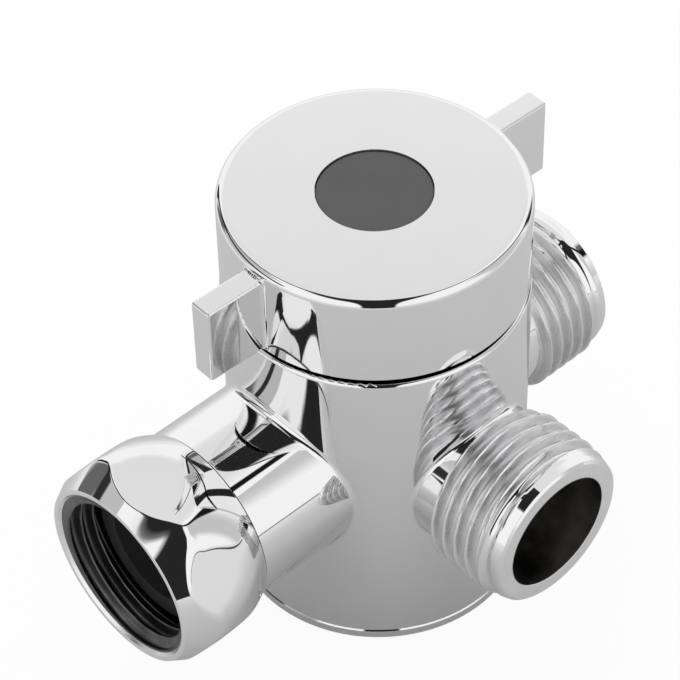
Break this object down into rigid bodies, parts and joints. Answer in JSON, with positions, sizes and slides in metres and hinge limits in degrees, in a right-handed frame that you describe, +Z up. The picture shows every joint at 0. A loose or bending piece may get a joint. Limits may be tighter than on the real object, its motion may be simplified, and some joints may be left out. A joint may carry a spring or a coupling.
{
  "type": "shower diverter valve",
  "caption": "Plated round shower diverter valve: winged handle on top, swivel nut on the inlet, threaded outlets straight on and to the side, turned a quarter turn by hand.",
  "frame": {"origin": "centre of the flat foot, on the spindle axis", "axes": "+Z up along the spindle to the handle, inlet toward -X, straight outlet toward +X, branch outlet toward -Y"},
  "size_m": [0.0714, 0.0486, 0.0583],
  "materials": {
    "chrome": "polished",
    "index_grey": "satin",
    "black_rubber": "matt",
    "brass": "machined",
    "spring_steel": "brushed",
    "ceramic": "lapped",
    "cartridge_plastic": "moulded",
    "washer_plastic": "moulded"
  },
  "bodies": {
    "valve": {"valve_body": "chrome", "base_cap": "chrome", "nut_retaining_ring": "spring_steel", "inlet_washer": "black_rubber", "cartridge_base": "cartridge_plastic", "cartridge_housing": "cartridge_plastic", "inlet_port_seal": "black_rubber", "through_port_seal": "black_rubber", "branch_port_seal": "black_rubber", "disc_seal": "black_rubber", "fixed_disc": "ceramic", "slide_washer": "washer_plastic", "gland_nut": "brass"},
    "handle_set": {"handle": "chrome", "handle_screw": "spring_steel", "index_cap": "index_grey", "spindle": "brass", "disc_carrier": "cartridge_plastic", "moving_disc": "ceramic", "spindle_o_ring_lower": "black_rubber", "spindle_o_ring_upper": "black_rubber", "spindle_clip": "spring_steel", "stop_ring": "brass"},
    "swivel_nut": {"inlet_swivel_nut": "chrome"}
  },
  "joints": [
    {"name": "handle_turn", "type": "hinge", "parent": "valve", "child": "handle_set", "pos_m": [0, 0, 0.0461], "axis": [0, 0, 1], "range_deg": [-90, 0]},
    {"name": "nut_swivel", "type": "hinge", "parent": "valve", "child": "swivel_nut", "pos_m": [-0.035, 0, 0.0244], "axis": [-1, 0, 0], "continuous": true}
  ]
}
